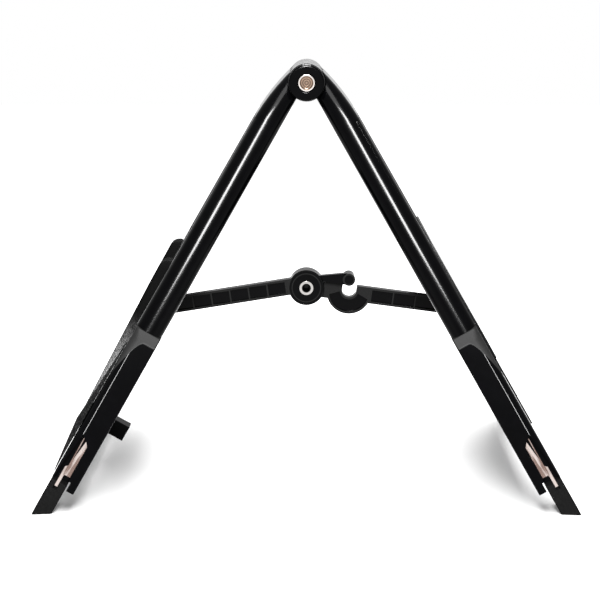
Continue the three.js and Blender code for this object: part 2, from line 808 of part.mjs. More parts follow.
// Stands round the hook's slot, open at the top.
function hookSlot() {
  const shape = new THREE.Shape();
  shape.moveTo(hookReach + hookSlotHalf, hookRadius);
  shape.lineTo(hookReach - hookSlotHalf, hookRadius);
  shape.lineTo(hookReach - hookSlotHalf, hookSlotRise);
  shape.absarc(hookReach, hookSlotRise, hookSlotHalf, Math.PI, 2 * Math.PI, false);
  return acrossPrism(shape, [-overrun, stayHalf + overrun]);
}

// The pocket below the slot, left of it and right of it one wall each side.
function hookPocket(across) {
  const shape = new THREE.Shape();
  const [outer, inner] = [hookRadius - hookFlange, hookSlotHalf + hookFlange];
  const spread = hookPocketSpreadShare * Math.PI / 2;
  const [start, end] = [3 * Math.PI / 2 - spread, 3 * Math.PI / 2 + spread];
  shape.absarc(hookReach, hookRise, outer, start, end, false);
  shape.absarc(hookReach, hookSlotRise, inner, end, start, true);
  return acrossPrism(shape, across);
}

function hookLink() {
  const layer = [stayLayerGap / 2, stayHalf];
  const bowl = roundBar(hookRadius, layer, hookReach, -hookRise, knuckleSteps);
  const wide = hookRadius + overrun;
  const above = block([hookReach - wide, hookReach + wide], [-overrun, stayHalf + overrun], [-wide, -hookMouthTop]);
  const body = join(stayArm(-hookArmDrop, -hookEyeDrop), cut(bowl, above));
  const pocketStart = hookReach + hookRadius;
  const pockets = [
    ...armPockets(pocketStart, -hookArmDrop, -hookEyeDrop, stayHalf, -1),
    ...armPockets(pocketStart, -hookArmDrop, -hookEyeDrop, layer[0], 1),
    hookPocket([layer[0] - overrun, layer[0] + armPocketDepth]),
    hookPocket([stayHalf - armPocketDepth, stayHalf + overrun]),
  ];
  return cut(body, hookSlot(), ...pockets, ...stayBores());
}

// A rivet that is hollow from its outer end.
function eyelet() {
  const [low, high] = [stayLayerGap, stayHalf + seatGap];
  return turned([
    [0, low],
    [eyeletTubeRadius, low],
    [eyeletTubeRadius, high],
    [eyeletRadius, high],
    [eyeletRadius - eyeletFlange / 2, high + eyeletFlange],
    [eyeletHole, high + eyeletFlange],
    [eyeletHole, low + eyeletFloor],
    [0, low + eyeletFloor],
  ]);
}

function stayPin() {
  const half = stayChannelHalf + stayPinSeat;
  return roundBar(stayPinRadius, [-half, half], stayPivotDeep, stayPivotAlong);
}

// Cradle, folded up against the front frame
function cradleTubeHalf() {
  return legMiddle(cradleAlong - cradleTubeRadius) - shellHalf - seatGap;
}

function prongOuter(along) {
  const share = (along - prongTip) / (prongRootEnd - prongTip);
  return prongTipOuter + (prongRootOuter - prongTipOuter) * share;
}

// How far the outer face falls off to both sides of its crest: not at all at the tip, most at the root.
function roofDrop(along) {
  return prongRoofDrop * Math.max(0, (along - prongRoofAlong) / (prongRootEnd - prongRoofAlong));
}

// A ring round a prong whose outer face is a low roof.
function prongRing(inner, outer, half, corner, drop, along) {
  const ring = roundedRing([inner, outer], [-half, half], corner, along);
  return ring.map((point) => {
    const share = Math.abs(point.y) / half;
    const isOuter = point.x > (inner + outer) / 2;
    return new THREE.Vector3(point.x - (isOuter ? drop * share : 0), point.y, point.z);
  });
}

function prongCore() {
  const half = prongWidth / 2 - sleeveWall - seatGap;
  const inner = prongInner + sleeveWall + seatGap;
  const top = prongTip + sleeveWall + prongCorner + seatGap;
  const rings = [top, sleeveEnd].map((along) => {
    const outer = prongOuter(along) - prongRoofDrop - sleeveWall - seatGap;
    return roundedRing([inner, outer], [-half, half], prongCorner / 2, along);
  });
  const collar = sleeveEnd + seatGap;
  const wide = prongWidth / 2;
  const root = prongRing(prongInner, prongOuter(collar), wide, prongCorner, roofDrop(collar), collar);
  return loft([...rings, root]);
}

function prongRoot() {
  const collar = sleeveEnd + seatGap;
  const half = prongWidth / 2;
  const rings = [collar, prongRootEnd - prongRootCorner, prongRootEnd].map((along, step) => {
    const pull = step === 2 ? prongRootCorner : 0;
    const inner = step === 0 ? prongInner : cradleDeep;
    return prongRing(inner, prongOuter(along) - pull, half, prongCorner, roofDrop(along), along);
  });
  return loft(rings);
}

function cradleYoke() {
  const half = cradleTubeHalf();
  const tube = roundBar(cradleTubeRadius, [-half, half], cradleDeep, cradleAlong, roundSteps);
  const prongs = [-prongMiddle, prongMiddle].flatMap((middle) => {
    const pieces = [prongCore(), prongRoot()];
    pieces.forEach((piece) => piece.translate(0, middle, 0));
    return pieces;
  });
  const heel = block([-heelReach, cradleDeep], [-heelHalfWidth, heelHalfWidth],
    [heelAlong - heelHalfLength, heelAlong + heelHalfLength]);
  const bores = [-1, 1].map((side) => {
    const ends = [side * (half - cradlePinInTube - seatGap), side * (half + overrun)].sort((a, b) => a - b);
    return roundBar(cradlePinRadius + seatGap, ends, cradleDeep, cradleAlong);
  });
  return cut(join(tube, ...prongs, heel), ...bores);
}

function prongSleeve() {
  const half = prongWidth / 2;
  const lipInner = prongInner - prongLipDeep;
  const tip = Array.from({ length: tipSteps }, (_, step) => {
    const angle = Math.PI / 2 * step / tipSteps;
    const along = prongTip + prongTipCorner * (1 - Math.cos(angle));
    const outer = prongOuter(along) - prongTipCorner * (1 - Math.sin(angle));
    const draw = prongCorner / 2 * (1 - Math.sin(angle));
    return roundedRing([lipInner, outer], [draw - half, half - draw], prongCorner / 2, along);
  });
  const stations = [
    [prongTip + prongTipCorner, lipInner, prongCorner / 2],
    [prongTip + prongLipLength, lipInner, prongCorner / 2],
    [prongTip + 2 * prongLipLength, prongInner, prongCorner],
    [prongRoofAlong, prongInner, prongCorner],
    [sleeveEnd, prongInner, prongCorner],
  ];
  const outside = loft([...tip, ...stations.map(([along, inner, corner]) => {
    return prongRing(inner, prongOuter(along), half, corner, roofDrop(along), along);
  })]);
  const wall = half - sleeveWall;
  const inside = loft([prongTip + sleeveWall + prongCorner, sleeveEnd + overrun].map((along) => {
    const outer = prongOuter(along) - prongRoofDrop - sleeveWall;
    return roundedRing([prongInner + sleeveWall, outer], [-wall, wall], prongCorner / 2, along);
  }));
  return cut(outside, inside);
}

function cradlePin() {
  const tubeHalf = cradleTubeHalf();
  const shellFace = legMiddle(cradleAlong) - shellHalf;
  const across = [tubeHalf - cradlePinInTube, shellFace + cradlePinInShell];
  return roundBar(cradlePinRadius, across, cradleDeep, cradleAlong);
}

// Assembly
function place(group, name, geometry, look) {
  const mesh = new THREE.Mesh(geometry, new THREE.MeshStandardMaterial(look));
  mesh.name = name;
  group.add(mesh);
}

// A frame's space: the front one is turned half round, so that x points outwards on both.
function frameSpace(isFront) {
  const group = new THREE.Group();
  group.position.set(0, 0, hingeHeight);
  group.rotation.set(0, -openHalfAngle, isFront ? Math.PI : 0, 'ZYX');
  return group;
}

// A stay half's space, at the middle joint.
function staySpace(isFront) {
  const group = new THREE.Group();
  group.position.set(0, 0, hingeHeight - kneeDrop);
  group.rotation.set(0, stayRestTilt, isFront ? Math.PI : 0, 'ZYX');
  return group;
}

// Adds a piece to both sides. In the turned front space the near side has y above zero.
function placePair(group, isFront, name, geometry, look) {
  const [positive, negative] = bothSides(geometry);
  place(group, `${name}_near`, isFront ? positive : negative, look);
  place(group, `${name}_far`, isFront ? negative : positive, look);
}

const stand = new THREE.Group();

for (const isFront of [true, false]) {
  const side = isFront ? 'front' : 'rear';
  const space = frameSpace(isFront);
  place(space, `${side}_frame`, frame(isFront), blackGloss);
  placePair(space, isFront, `${side}_shell`, shell(isFront), blackGloss);
  placePair(space, isFront, `${side}_shell_screw`, shellScrew(), steel);
  placePair(space, isFront, `${side}_blade`, blade(), nickel);
  placePair(space, isFront, `${side}_foot`, foot(), rubberBlack);
  place(space, `${side}_stay_pin`, stayPin(), steel);
  if (isFront) {
    placePair(space, isFront, 'front_rest', restStrip(), rubberBlack);
    place(space, 'cradle_yoke', cradleYoke(), blackMatte);
    const sleeve = prongSleeve();
    sleeve.translate(0, prongMiddle, 0);
    placePair(space, isFront, 'cradle_sleeve', sleeve, rubberBlack);
    placePair(space, isFront, 'cradle_pin', cradlePin(), steel);
  }
  stand.add(space);
}

const hinge = new THREE.Group();
hinge.position.set(0, 0, hingeHeight);
place(hinge, 'hinge_barrel', hingeBarrel(), steel);
placePair(hinge, false, 'hinge_washer', hingeWasher(), steel);
placePair(hinge, false, 'hinge_cap', hingeCap(), blackMatte);
placePair(hinge, false, 'hinge_screw', hingeScrew(), nickel);
stand.add(hinge);

const fingerSpace = staySpace(true);
place(fingerSpace, 'finger_link', fingerLink(), blackMatte);
place(fingerSpace, 'eyelet_near', eyelet(), nickel);
stand.add(fingerSpace);

const hookSpace = staySpace(false);
place(hookSpace, 'hook_link', hookLink(), blackMatte);
place(hookSpace, 'eyelet_far', eyelet(), nickel);
stand.add(hookSpace);

export default stand;
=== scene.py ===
# %% [markdown]
# A folding guitar stand
#
# The stand is two black moulded frames on one hinge, with a folding stay between them and a cradle that
# is folded up against the front frame. Its construction comes in as a fixed set of solids, already in
# their places and at their real size. This file gives them their finish: soft moulded edges, glossy and
# matt plastic, dusty rubber, nickel and steel, with painted sheen, highlight and shade in a few places.
# Lengths are metres.

# %% Load the stand
import math
from types import SimpleNamespace

import bmesh
import bpy
from mathutils import Matrix, Vector
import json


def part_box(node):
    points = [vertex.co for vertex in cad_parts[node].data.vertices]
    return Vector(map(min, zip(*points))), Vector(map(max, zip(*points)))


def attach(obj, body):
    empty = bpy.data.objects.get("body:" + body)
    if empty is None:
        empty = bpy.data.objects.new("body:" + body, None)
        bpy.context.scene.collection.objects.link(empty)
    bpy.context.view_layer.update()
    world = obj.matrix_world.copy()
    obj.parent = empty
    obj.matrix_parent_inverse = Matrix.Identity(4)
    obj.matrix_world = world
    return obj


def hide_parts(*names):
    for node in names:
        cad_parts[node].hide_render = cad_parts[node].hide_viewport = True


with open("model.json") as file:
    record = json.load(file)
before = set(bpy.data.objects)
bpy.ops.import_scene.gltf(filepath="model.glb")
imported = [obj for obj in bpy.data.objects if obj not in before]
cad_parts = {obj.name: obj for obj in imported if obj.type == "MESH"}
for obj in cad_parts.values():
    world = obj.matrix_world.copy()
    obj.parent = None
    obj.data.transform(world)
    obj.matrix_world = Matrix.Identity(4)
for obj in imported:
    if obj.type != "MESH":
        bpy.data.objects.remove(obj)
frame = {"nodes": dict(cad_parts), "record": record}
nodes = frame["nodes"]
body_of_node = {
    node: body for body, members in frame["record"]["behaviour"]["bodies"].items() for node in members
}
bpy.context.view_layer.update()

mm = 0.001

# %% [markdown]
# The camera stands in front of the near side, a little over a metre away and just above the hinge,
# and looks down at the stand. It could stand at the hinge's height and shift its lens instead, but
# a tilt keeps the stand in the middle of the other views as well.

# %% Camera
camera_place = Vector((0.0, -1.1126, 0.3556))
camera_pitch = math.radians(11.502)
camera_turn = math.radians(0.253)
camera_lens = 88.18

camera_data = bpy.data.cameras.new("camera")
camera_data.lens = camera_lens
camera = bpy.data.objects.new("camera", camera_data)
camera.location = camera_place
camera.rotation_euler = (math.pi / 2 - camera_pitch, 0.0, camera_turn)
bpy.context.scene.collection.objects.link(camera)
bpy.context.scene.camera = camera
bpy.context.scene.view_settings.view_transform = "Standard"
print("the camera stands", round(-camera_place.y, 2), "m in front of the stand")

# %% [markdown]
# Black gloss shows little but its reflections, so the lamps are placed for those. A softbox is an
# area lamp, whose size sets how wide its reflection is and how soft its shadow. One set of lamps
# could light everything, but what draws a fine line on black plastic washes out the nickel beside
# it. So a lamp here can be linked to one collection of pieces, and then lights those alone. No
# lamp shows in a picture.

# %% A softbox
upwards = (0.0, 0.0, 1.0)


def area_lamp(name, place, target, size, watts, along=upwards, lit=None):
    """A softbox whose second side runs along a direction. It can light one collection alone."""
    data = bpy.data.lights.new(name, "AREA")
    data.shape = "RECTANGLE"
    data.size, data.size_y = size
    data.energy = watts
    back = (Vector(place) - Vector(target)).normalized()
    across = Vector(along).cross(back).normalized()
    turn = Matrix((across, back.cross(across), back)).transposed()
    lamp = bpy.data.objects.new(name, data)
    lamp.matrix_world = Matrix.Translation(place) @ turn.to_4x4()
    lamp.visible_camera = False
    lamp.light_linking.receiver_collection = lit
    bpy.context.scene.collection.objects.link(lamp)
    return lamp


black_pieces = bpy.data.collections.new("black_pieces")
shells = bpy.data.collections.new("shells")
print("lit on their own:", black_pieces.name, "and", shells.name)

# %% [markdown]
# A tall softbox stands behind the camera and above it, and the near sides of the legs mirror it as
# a narrow bright line. Two small ones beside it draw the line on the rounded edge of each shell. A
# long one overhead runs the same way as the hinge, and throws the soft shadows inside the feet.

# %% Lamps
stand_middle = (0.0, 0.0, 0.15)
backwards = (0.0, 1.0, 0.0)
edge_lamp = {"target": stand_middle, "size": (0.12, 0.3), "watts": 45, "lit": shells}
lamps = [
    area_lamp("front_softbox", place=(0.0, -1.6, 0.92), target=stand_middle,
              size=(0.26, 0.7), watts=250, lit=black_pieces),
    area_lamp("left_edge_softbox", place=(-0.42, -1.6, 0.47), **edge_lamp),
    area_lamp("right_edge_softbox", place=(0.42, -1.6, 0.47), **edge_lamp),
    area_lamp("top_softbox", place=(0.0, -0.05, 0.53), target=(0.0, -0.05, 0.15),
              size=(0.12, 1.3), watts=12.7, along=backwards),
]
print("lamps:", [lamp.name for lamp in lamps])

# %% [markdown]
# Materials and the world are networks of nodes, and four short helpers keep those networks
# readable. The first puts a link or a plain value into a socket. The others are one sum, a soft
# step from one value to another, and a mix of two colours.

# %% Helpers for nodes
def feed(tree, value, socket):
    """Puts a link, a plain number or a plain colour into a socket."""
    if hasattr(value, "links"):
        tree.links.new(value, socket)
    elif isinstance(value, (int, float)):
        socket.default_value = value
    else:
        socket.default_value = (*value, 1.0)


def maths(tree, operation, first, second=0.0):
    node = tree.nodes.new("ShaderNodeMath")
    node.operation = operation
    feed(tree, first, node.inputs[0])
    feed(tree, second, node.inputs[1])
    return node.outputs[0]


def ramp(tree, value, start, end, low=0.0, high=1.0, curve="SMOOTHSTEP"):
    """A step from low to high as a value goes from start to end."""
    node = tree.nodes.new("ShaderNodeMapRange")
    node.interpolation_type = curve
    feed(tree, value, node.inputs["Value"])
    for label, number in (("From Min", start), ("From Max", end), ("To Min", low), ("To Max", high)):
        feed(tree, number, node.inputs[label])
    return node.outputs["Result"]


def blend(tree, factor, first, second):
    """A colour between two, each a plain colour or a link."""
    node = tree.nodes.new("ShaderNodeMix")
    node.data_type = "RGBA"
    feed(tree, factor, node.inputs["Factor"])
    feed(tree, first, node.inputs["A"])
    feed(tree, second, node.inputs["B"])
    return node.outputs["Result"]


print("node helpers: feed, maths, ramp, blend")

# %% [markdown]
# The room is white, as for a catalogue photo. The world could simply shine white, but that would
# fill every shadow. So its full strength is only for what sees it directly, which is the eye, a
# reflection or a clear material, and it lights the stand at less than half of that.

# %% World
world_dim = 0.45


def seen_directly(tree):
    """One where the ray comes from the eye, a reflection or a clear material, else zero."""
    path = tree.nodes.new("ShaderNodeLightPath").outputs
    eye_or_mirror = maths(tree, "MAXIMUM", path["Is Camera Ray"], path["Is Glossy Ray"])
    return maths(tree, "MAXIMUM", eye_or_mirror, path["Is Transmission Ray"])


world = bpy.data.worlds.new("studio")
world.use_nodes = True
bpy.context.scene.world = world
world_tree = world.node_tree
world_light = world_tree.nodes["Background"].inputs
feed(world_tree, (1.0, 1.0, 1.0), world_light["Color"])
world_strength = ramp(world_tree, seen_directly(world_tree), 0.0, 1.0, world_dim, 1.0, "LINEAR")
feed(world_tree, world_strength, world_light["Strength"])
print("the world shines on the stand at", world_dim)

# %% [markdown]
# The floor is one large pale sheet that takes the stand's soft shadow. It could curve up into a
# backdrop, as in a real studio, but a flat sheet looks the same from every side.

# %% Floor
floor_size = 8.0
floor_mesh = bmesh.new()
bmesh.ops.create_grid(floor_mesh, x_segments=1, y_segments=1, size=floor_size / 2)
floor_data = bpy.data.meshes.new("floor")
floor_mesh.to_mesh(floor_data)
floor_mesh.free()
floor = bpy.data.objects.new("floor", floor_data)
bpy.context.scene.collection.objects.link(floor)
print("floor", floor_size, "m square")

# %% [markdown]
# A pale floor in soft light comes out light grey. More light would turn it white, but would wash
# out the stand as well. So a little glow that only the eye and reflections see brings the floor's
# lit parts to white. Away from the stand the glow grows to full. The sheet's far edge then can't
# be told from the world, and no horizon shows.

# %% Floor finish
floor_tone = (0.78, 0.78, 0.78)
floor_roughness = 0.9
floor_specular = 0.1
floor_glow = 0.12
glow_from, glow_to = 0.28, 0.6

floor_finish = bpy.data.materials.new("floor_finish")
floor_finish.use_nodes = True
floor_tree = floor_finish.node_tree
floor_shader = floor_tree.nodes["Principled BSDF"].inputs
feed(floor_tree, floor_tone, floor_shader["Base Color"])
feed(floor_tree, floor_roughness, floor_shader["Roughness"])
feed(floor_tree, floor_specular, floor_shader["Specular IOR Level"])
feed(floor_tree, (1.0, 1.0, 1.0), floor_shader["Emission Color"])
distance = floor_tree.nodes.new("ShaderNodeVectorMath")
distance.operation = "LENGTH"
floor_place = floor_tree.nodes.new("ShaderNodeTexCoord").outputs["Object"]
feed(floor_tree, floor_place, distance.inputs[0])
away = ramp(floor_tree, distance.outputs["Value"], glow_from, glow_to, floor_glow)
glow = maths(floor_tree, "MULTIPLY", seen_directly(floor_tree), away)
feed(floor_tree, glow, floor_shader["Emission Strength"])
floor_data.materials.append(floor_finish)
print("the floor's glow grows from", glow_from, "to", glow_to, "m off")

# %% [markdown]
# Effects that several finishes share are node groups. A group is built once, and each finish places
# it with values of its own. It could be copied into every finish instead, but then a mend in one
# copy would miss the others. The first group gives a slow drift, for gloss that handling has
# dulled in places. The second is a fine stipple for bump, and the third a fleck of a second colour.

# %% Groups for wear and grain
smear_detail = 4.0
grain_detail = 2.0
speck_end = 0.8


def new_group(name, inputs, outputs):
    """An empty group with named sockets, and the sockets at its two ends, to link."""
    group = bpy.data.node_groups.new(name, "ShaderNodeTree")
    for way, sockets in (("INPUT", inputs), ("OUTPUT", outputs)):
        for label, kind in sockets.items():
            group.interface.new_socket(label, in_out=way, socket_type="NodeSocket" + kind)
    start = group.nodes.new("NodeGroupInput")
    end = group.nodes.new("NodeGroupOutput")
    return group, start.outputs, end.inputs


def noise(tree, vector, scale, detail):
    node = tree.nodes.new("ShaderNodeTexNoise")
    feed(tree, vector, node.inputs["Vector"])
    feed(tree, scale, node.inputs["Scale"])
    feed(tree, detail, node.inputs["Detail"])
    return node.outputs["Fac"]


handling, given, made = new_group(
    "handling",
    {"Vector": "Vector", "Scale": "Float", "Low": "Float", "High": "Float"},
    {"Value": "Float"},
)
smears = noise(handling, given["Vector"], given["Scale"], smear_detail)
feed(handling, ramp(handling, smears, 0.0, 1.0, given["Low"], given["High"], "LINEAR"), made["Value"])

stipple, given, made = new_group("stipple", {"Vector": "Vector", "Scale": "Float"}, {"Height": "Float"})
pits = stipple.nodes.new("ShaderNodeTexVoronoi")
feed(stipple, given["Vector"], pits.inputs["Vector"])
feed(stipple, given["Scale"], pits.inputs["Scale"])
feed(stipple, pits.outputs["Distance"], made["Height"])

specks, given, made = new_group(
    "specks",
    {"Vector": "Vector", "Scale": "Float", "Share": "Float", "Base": "Color", "Speck": "Color"},
    {"Color": "Color"},
)
grains = noise(specks, given["Vector"], given["Scale"], grain_detail)
bright_grains = ramp(specks, grains, given["Share"], speck_end, curve="LINEAR")
feed(specks, blend(specks, bright_grains, given["Base"], given["Speck"]), made["Color"])
print("groups:", handling.name, stipple.name, specks.name)

# %% [markdown]
# Some finishes change from place to place, such as the painted sheen that grows lower down a sleeve. A
# pattern could be painted on, but a rule reads better. Two groups tell a finish where it is. One gives
# the distance down the leg from the hinge and the depth across it, for the front and the rear leg
# alike. The other gives the distance from an axis that runs across the stand.

# %% Groups for places on the stand
hinge_height = 298 * mm
leg_lean = math.radians(30)


def parts_of(tree, vector):
    node = tree.nodes.new("ShaderNodeSeparateXYZ")
    feed(tree, vector, node.inputs[0])
    return node.outputs


def shares(tree, first, first_share, second, second_share, operation):
    """Two lengths, each times its share, added or subtracted."""
    return maths(tree, operation, maths(tree, "MULTIPLY", first, first_share),
                 maths(tree, "MULTIPLY", second, second_share))


down_leg, given, made = new_group("down_leg", {"Vector": "Vector"}, {"Along": "Float", "Deep": "Float"})
parts = parts_of(down_leg, given["Vector"])
aside = maths(down_leg, "ABSOLUTE", parts["X"])
below = maths(down_leg, "SUBTRACT", hinge_height, parts["Z"])
lean_sine, lean_cosine = math.sin(leg_lean), math.cos(leg_lean)
feed(down_leg, shares(down_leg, aside, lean_sine, below, lean_cosine, "ADD"), made["Along"])
feed(down_leg, shares(down_leg, aside, lean_cosine, below, lean_sine, "SUBTRACT"), made["Deep"])

from_axis, given, made = new_group(
    "from_axis", {"Vector": "Vector", "Aside": "Float", "Height": "Float"}, {"Radius": "Float"}
)
parts = parts_of(from_axis, given["Vector"])
across = maths(from_axis, "SUBTRACT", parts["X"], given["Aside"])
above = maths(from_axis, "SUBTRACT", parts["Z"], given["Height"])
squares = shares(from_axis, across, across, above, above, "ADD")
feed(from_axis, maths(from_axis, "SQRT", squares), made["Radius"])
print("groups:", down_leg.name, from_axis.name)

# %% [markdown]
# Each finish is a Principled shader. Its plain numbers are set on the shader's own sockets, and
# only what changes over the surface is linked. These helpers start a finish and add to it what most
# of them have: gloss that drifts, flecks of a second tone, and bump.

# %% Helpers for finishes
def placed(finish, group, **values):
    """A group placed in a finish, with its values. One that asks for a vector gets the place."""
    node = finish.tree.nodes.new("ShaderNodeGroup")
    node.node_tree = group
    if "Vector" in node.inputs:
        feed(finish.tree, finish.place, node.inputs["Vector"])
    for label, value in values.items():
        feed(finish.tree, value, node.inputs[label])
    return node


def new_finish(name, metallic=0.0, specular=0.5):
    material = bpy.data.materials.new(name)
    material.use_nodes = True
    tree = material.node_tree
    shader = tree.nodes["Principled BSDF"].inputs
    feed(tree, metallic, shader["Metallic"])
    feed(tree, specular, shader["Specular IOR Level"])
    place = tree.nodes.new("ShaderNodeTexCoord").outputs["Object"]
    return SimpleNamespace(material=material, tree=tree, shader=shader, place=place)


def flecked(finish, scale, share, base, speck):
    """Gives a finish its colour: a base with specks on it."""
    finish.fleck = placed(finish, specks, Scale=scale, Share=share, Base=base, Speck=speck)
    finish.colour = finish.fleck.outputs["Color"]
    feed(finish.tree, finish.colour, finish.shader["Base Color"])


def handled(finish, scale, gloss):
    """Gives a finish its gloss, which drifts between two values of roughness."""
    finish.gloss = placed(finish, handling, Scale=scale, Low=gloss[0], High=gloss[1]).outputs["Value"]
    feed(finish.tree, finish.gloss, finish.shader["Roughness"])


def bumped(finish, height, strength, distance):
    node = finish.tree.nodes.new("ShaderNodeBump")
    feed(finish.tree, strength, node.inputs["Strength"])
    feed(finish.tree, distance, node.inputs["Distance"])
    feed(finish.tree, height, node.inputs["Height"])
    feed(finish.tree, node.outputs["Normal"], finish.shader["Normal"])


def times(colour, factor):
    return tuple(factor * channel for channel in colour)


print("finish helpers: placed, new_finish, flecked, handled, bumped")

# %% [markdown]
# The frames are black plastic with a high gloss, and the end discs of the hinge have it too. The
# cradle is a little duller. Real black plastic sends back far less light than a dark grey paint
# would, so its colour is close to none at all and its reflection is kept low. Faint flecks and a
# shallow grain stop it from looking like glass.

# %% Black plastic
coal = (0.0002, 0.0002, 0.00025)
plastic_specular = 0.035
fleck_gain = 1.5
plastic_flecks = {"scale": 160.0, "share": 0.45, "base": coal, "speck": times(coal, fleck_gain)}
plastic_smear = 55.0
plastic_bump = 0.05
gloss_grain = (1500.0, 0.002 * mm)
matte_grain = (1400.0, 0.01 * mm)


def plastic(name, gloss, grain):
    finish = new_finish(name, specular=plastic_specular)
    flecked(finish, **plastic_flecks)
    handled(finish, plastic_smear, gloss)
    grain_scale, grain_depth = grain
    pitted = placed(finish, stipple, Scale=grain_scale).outputs["Height"]
    bumped(finish, pitted, plastic_bump, grain_depth)
    return finish


black_gloss = plastic("black_gloss", gloss=(0.12, 0.16), grain=gloss_grain)
black_matte = plastic("black_matte", gloss=(0.15, 0.2), grain=matte_grain)
print("finishes:", black_gloss.material.name, black_matte.material.name)

# %% [markdown]
# The shell over each lower leg is glossier still, but its shoulder was left matt, down to an arched
# line. Above that line the shoulder also gets a painted sheen: a paler tone for the light that its
# upward slope catches. It could be a piece of its own, but the real one is a single moulding. So one
# finish mixes the two, and the line is a rule: a distance down the leg that grows towards the outer
# edge.

# %% Shells
# The shoulder's paler tone is painted sheen; its roughness is its own matt finish.
shoulder_sheen_tone = (0.0036, 0.0036, 0.0036)
shoulder_roughness = 0.6
shoulder_end, gloss_start = 213.5 * mm, 215.5 * mm
arch_begins = 9 * mm
arch_bend = 270.0

shell_gloss = plastic("shell_gloss", gloss=(0.08, 0.1), grain=gloss_grain)
tree = shell_gloss.tree
on_leg = placed(shell_gloss, down_leg).outputs
outer = maths(tree, "MAXIMUM", maths(tree, "SUBTRACT", on_leg["Deep"], arch_begins))
arch = maths(tree, "MULTIPLY", maths(tree, "MULTIPLY", outer, outer), arch_bend)
level = maths(tree, "SUBTRACT", on_leg["Along"], arch)
matt_and_sheen = ramp(tree, level, shoulder_end, gloss_start, 1.0, 0.0)
# The same mask gives the shoulder its painted sheen tone and makes it matt.
feed(tree, blend(tree, matt_and_sheen, shell_gloss.colour, shoulder_sheen_tone), shell_gloss.shader["Base Color"])
roughness_gap = maths(tree, "SUBTRACT", shoulder_roughness, shell_gloss.gloss)
rougher = maths(tree, "MULTIPLY", roughness_gap, matt_and_sheen)
feed(tree, maths(tree, "ADD", shell_gloss.gloss, rougher), shell_gloss.shader["Roughness"])
print("finish:", shell_gloss.material.name)

# %% [markdown]
# The two links of the stay are ribbed, and the ribs get a painted highlight: they are painted a little
# paler than the floors of the pockets between them. The round boss in the middle stays dark, but for a
# painted highlight on one ring and its edge. The paler ribs could be found by their sharp edges, but
# those of one link all end at one level, so a rule on depth is enough. A group makes the mask, because
# both links use it.

# %% Ribs
eyelet_low, eyelet_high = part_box("eyelet_near")
eyelet_middle = (eyelet_low + eyelet_high) / 2
boss_radius = 13.0 * mm
boss_soft = 0.1 * mm
ring_radius = 10.9 * mm
ring_half, ring_fade = 0.2 * mm, 0.5 * mm
level_soft = 0.2 * mm

ribs, given, made = new_group(
    "ribs", {"Vector": "Vector", "Level": "Float", "Radius": "Float"}, {"Mask": "Float"}
)
rib_side = parts_of(ribs, given["Vector"])["Y"]
under_level = maths(ribs, "ADD", given["Level"], level_soft)
on_level = ramp(ribs, rib_side, given["Level"], under_level, 1.0, 0.0)
outside = ramp(ribs, given["Radius"], boss_radius - boss_soft, boss_radius + boss_soft)
off_ring = maths(ribs, "ABSOLUTE", maths(ribs, "SUBTRACT", given["Radius"], ring_radius))
on_ring = ramp(ribs, off_ring, ring_half, ring_fade, 1.0, 0.0)
# The ribs and the boss ring get a painted highlight.
painted_highlight = maths(ribs, "MULTIPLY", on_level, maths(ribs, "MAXIMUM", outside, on_ring))
feed(ribs, painted_highlight, made["Mask"])
print("group:", ribs.name)

# %% [markdown]
# Each link is the plain black plastic with that mask of painted highlight over it. The level isn't the
# same for both, because the hook link lies behind the finger link.

# %% Stay links
# The paler tone of the ribs is a painted highlight.
rib_highlight_tone = (0.0028, 0.0028, 0.0028)
link_gloss = (0.14, 0.18)
finger_level = -7.4 * mm
hook_level = 0.3 * mm


def link_plastic(name, level):
    finish = plastic(name, link_gloss, matte_grain)
    axis = placed(finish, from_axis, Aside=eyelet_middle.x, Height=eyelet_middle.z)
    mask = placed(finish, ribs, Level=level, Radius=axis.outputs["Radius"]).outputs["Mask"]
    paler = blend(finish.tree, mask, finish.colour, rib_highlight_tone)
    feed(finish.tree, paler, finish.shader["Base Color"])
    return finish


finger_plastic = link_plastic("finger_plastic", finger_level)
hook_plastic = link_plastic("hook_plastic", hook_level)
print("finishes:", finger_plastic.material.name, hook_plastic.material.name)

# %% [markdown]
# The feet, the rest strips and the cradle's sleeves are black rubber. It is matt, with a deep fine
# grain that holds dust, and on the sleeves its pale specks are painted sheen instead. The feet are
# nearly clean.

# %% Rubber
rubber_specular = 0.02
rubber_share = 0.46
rubber_smear = 90.0
rubber_gloss = (0.7, 0.9)
rubber_bump = 0.6
dust_scale = 900.0


def rubber(name, colour, speck_tone, grain, scale=dust_scale):
    """Matt rubber with pale specks in its grain: dust on the feet and strips, painted sheen on the
    sleeves.
    """
    finish = new_finish(name, specular=rubber_specular)
    flecked(finish, scale, rubber_share, colour, speck_tone)
    handled(finish, rubber_smear, rubber_gloss)
    grain_scale, grain_depth = grain
    pitted = placed(finish, stipple, Scale=grain_scale).outputs["Height"]
    bumped(finish, pitted, rubber_bump, grain_depth)
    return finish


strip_grain = (1100.0, 0.12 * mm)
foot_grain = (1300.0, 0.06 * mm)
black_rubber = rubber("black_rubber", colour=(0.0008, 0.0008, 0.0008), speck_tone=(0.009, 0.009, 0.009),
                      grain=strip_grain)
foot_rubber = rubber("foot_rubber", colour=(0.0009, 0.0009, 0.0009), speck_tone=(0.002, 0.002, 0.002),
                     grain=foot_grain)
print("finishes:", black_rubber.material.name, foot_rubber.material.name)

# %% [markdown]
# The sleeves on the prongs are dark near their tips, and lower down they carry a painted sheen as a
# pale speckle. So both tones of their flecks change down the leg: from nearly black to a pale grey that
# stands for the sheen.

# %% Sleeves
sleeve_tone = (0.0003, 0.0003, 0.0003)
